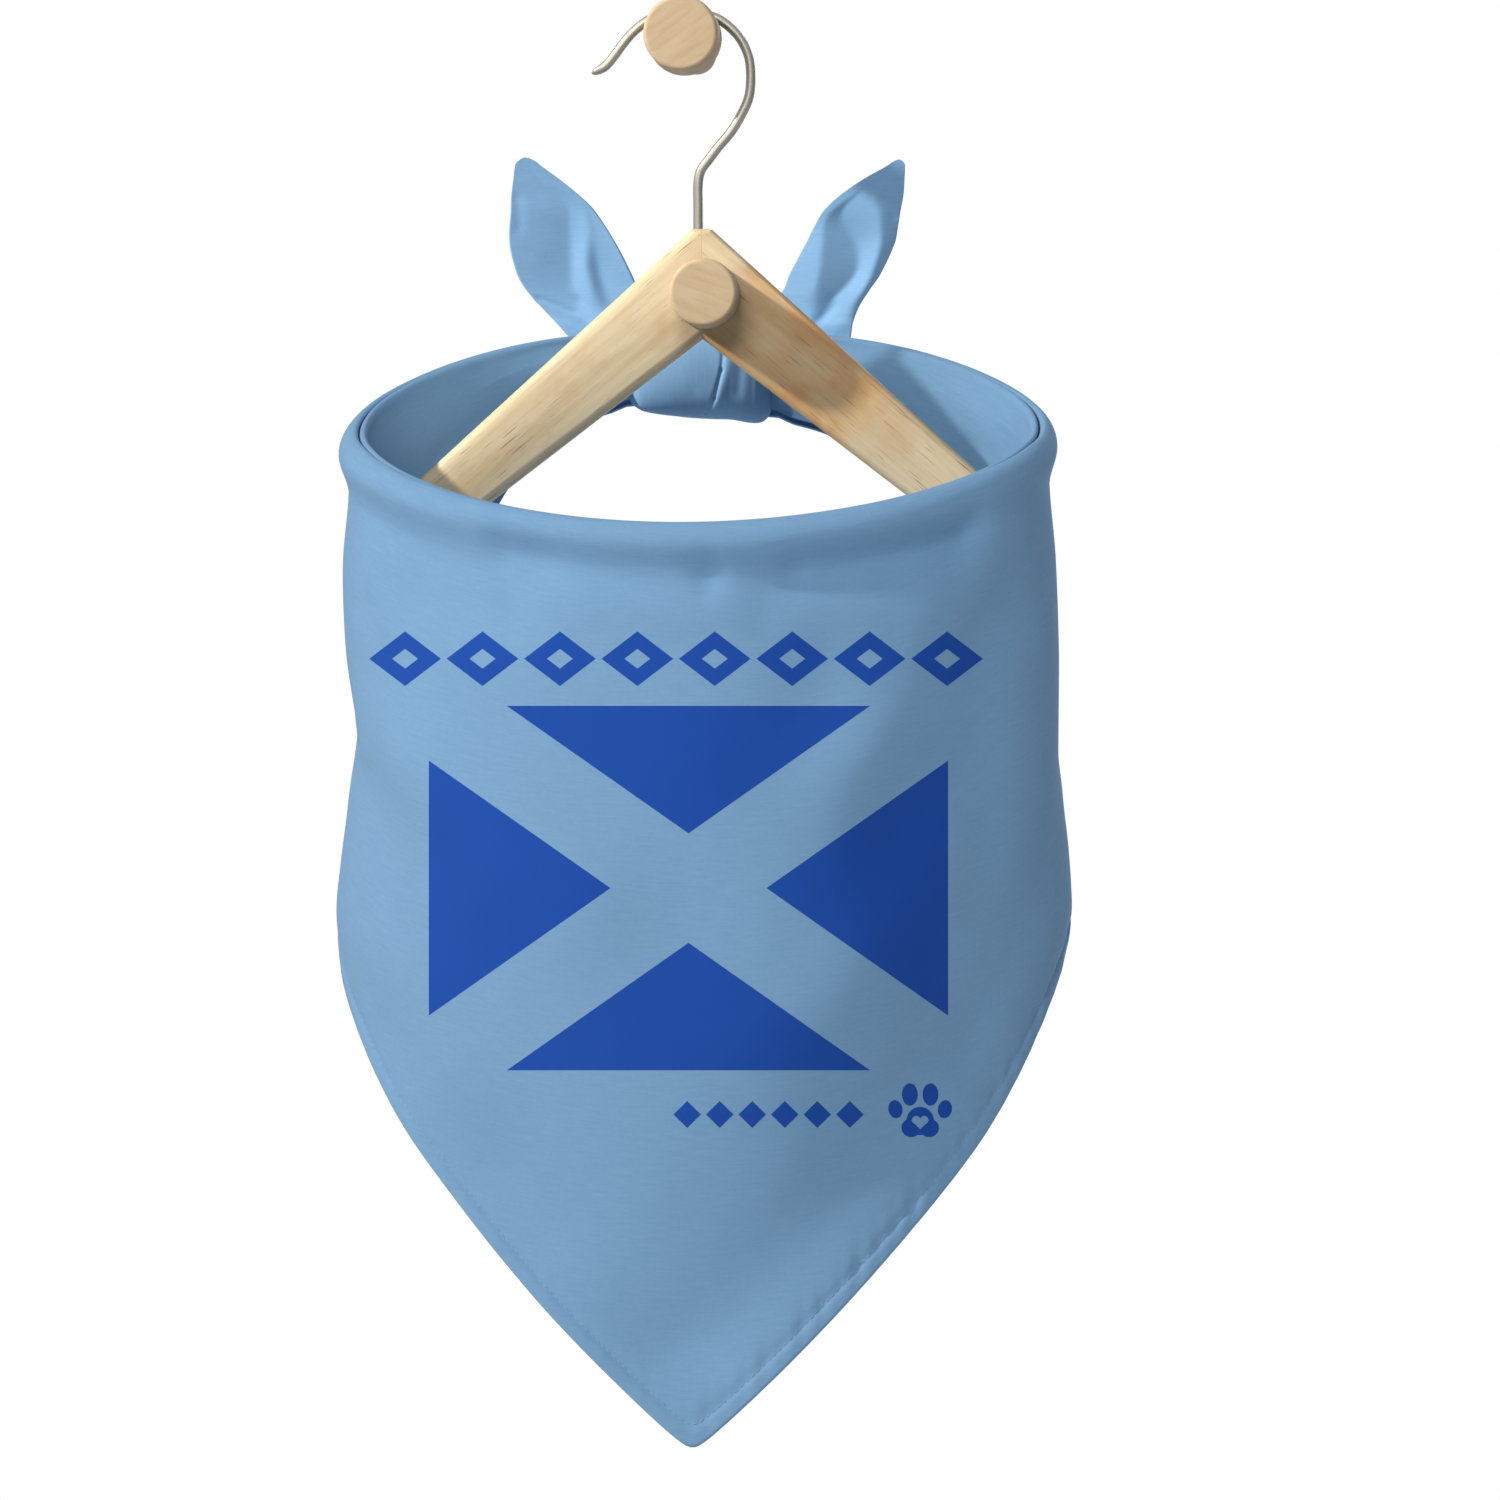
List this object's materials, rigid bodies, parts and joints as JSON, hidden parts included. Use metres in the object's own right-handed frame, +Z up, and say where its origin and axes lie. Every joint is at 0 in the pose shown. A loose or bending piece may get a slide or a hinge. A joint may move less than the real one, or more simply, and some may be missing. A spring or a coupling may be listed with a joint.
{
  "type": "dog bandana on a hanger and wall peg",
  "caption": "Triangular dog bandana with a turned-in neck edge, tied behind in a knot with two standing tie ends, hung open on a small wooden hanger whose wire hook rests on a round wall peg.",
  "frame": {"origin": "centre of the wall peg's flat back face, where it meets the wall", "axes": "+Z up, +Y into the wall, out of the peg's back face, +X to the right as seen from the front"},
  "size_m": [0.2583, 0.1601, 0.5008],
  "materials": {
    "cloth": "matt fine woven cotton, light blue, printed in darker blue on the front",
    "hanger_wood": "pale wood, fine straight grain, unvarnished satin",
    "peg_wood": "pale end grain on the face, unvarnished",
    "hook_steel": "polished nickel-plated wire"
  },
  "bodies": {
    "root": {"drape": "cloth", "neck_turn_in": "cloth", "knot": "cloth", "left_tie_end": "cloth", "right_tie_end": "cloth", "hanger_left_arm": "hanger_wood", "hanger_right_arm": "hanger_wood", "apex_dowel": "hanger_wood", "wall_peg": "peg_wood", "hook": "hook_steel"}
  },
  "joints": []
}
